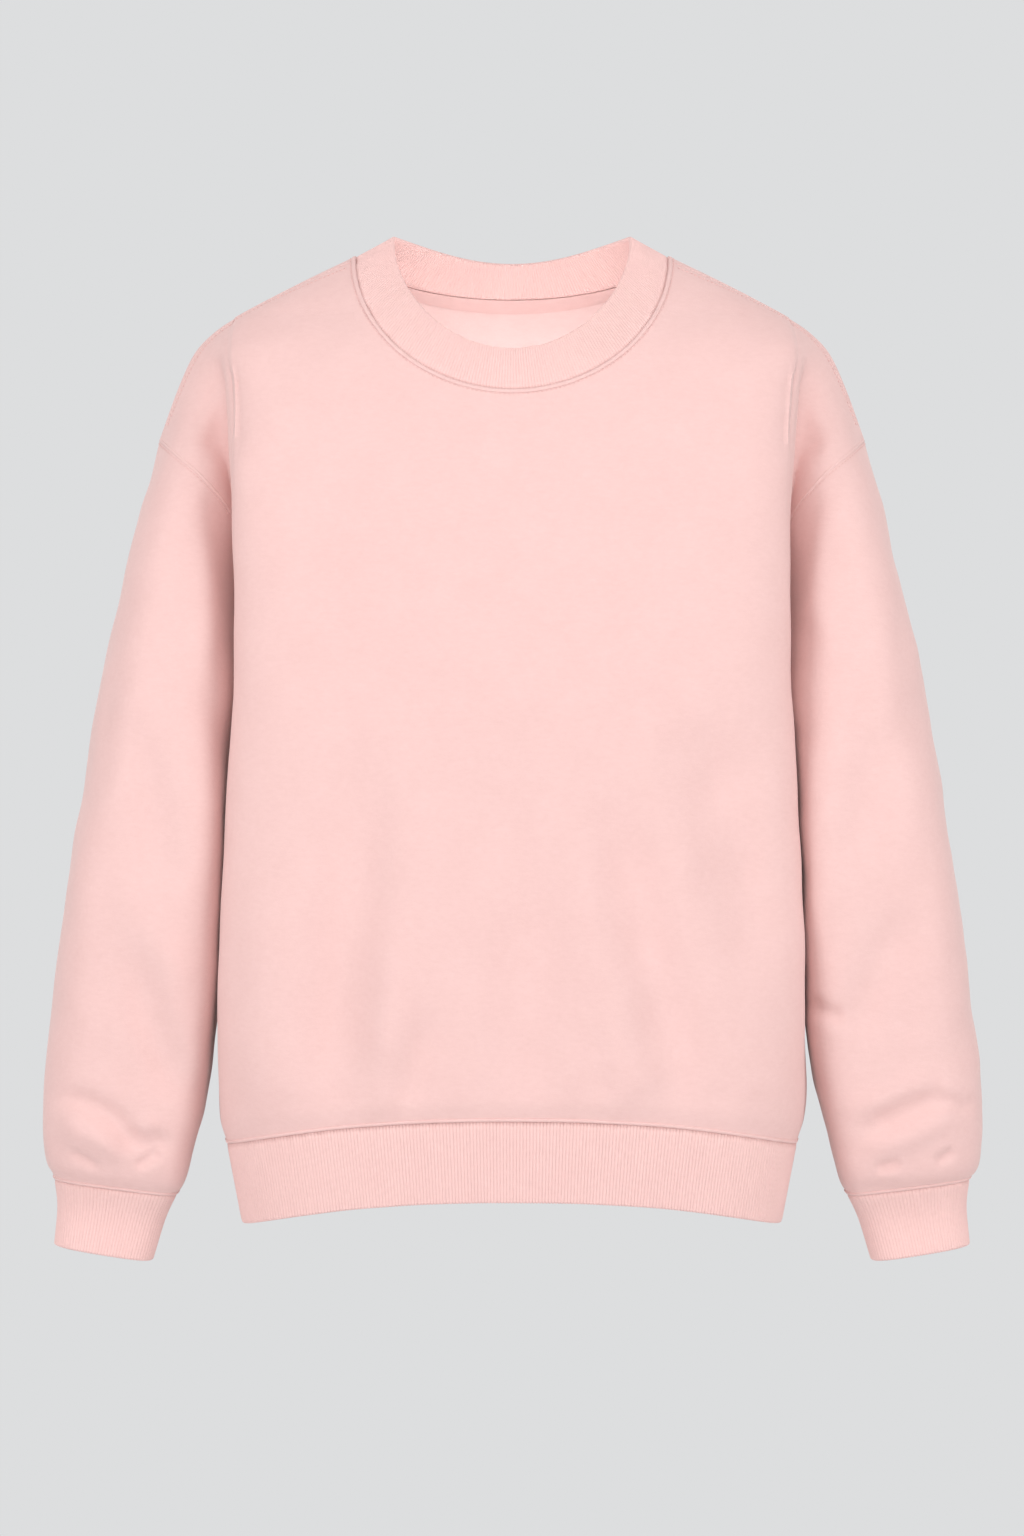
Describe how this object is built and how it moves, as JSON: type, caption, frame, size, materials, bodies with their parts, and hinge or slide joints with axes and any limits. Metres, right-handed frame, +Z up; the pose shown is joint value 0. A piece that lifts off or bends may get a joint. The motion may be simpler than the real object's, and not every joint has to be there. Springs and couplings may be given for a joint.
{
  "type": "crewneck sweatshirt",
  "caption": "Light pink crewneck sweatshirt with dropped shoulders, full sleeves and ribbed collar, cuffs and hem band, plain with no print, filled out as if it were worn.",
  "frame": {"origin": "the wearer_shoulders mount: on the garment's middle, level with the points where the shoulder seams meet the collar seam and 3 mm in front of the shoulder ridge, inside the neck opening", "axes": "+Z up the body to the collar, the front of the garment faces -Y, +X to the wearer's left, which is the right-hand side of the picture"},
  "size_m": [0.672, 0.2384, 0.7349],
  "materials": {
    "fleece": "soft matte knit, brushed inside",
    "rib": "matte rib knit"
  },
  "bodies": {
    "root": {"front": "fleece", "back": "fleece", "sleeve_left": "fleece", "sleeve_right": "fleece", "neck_tape": "fleece", "collar": "rib", "hem_band": "rib", "cuff_left": "rib", "cuff_right": "rib"}
  },
  "joints": []
}
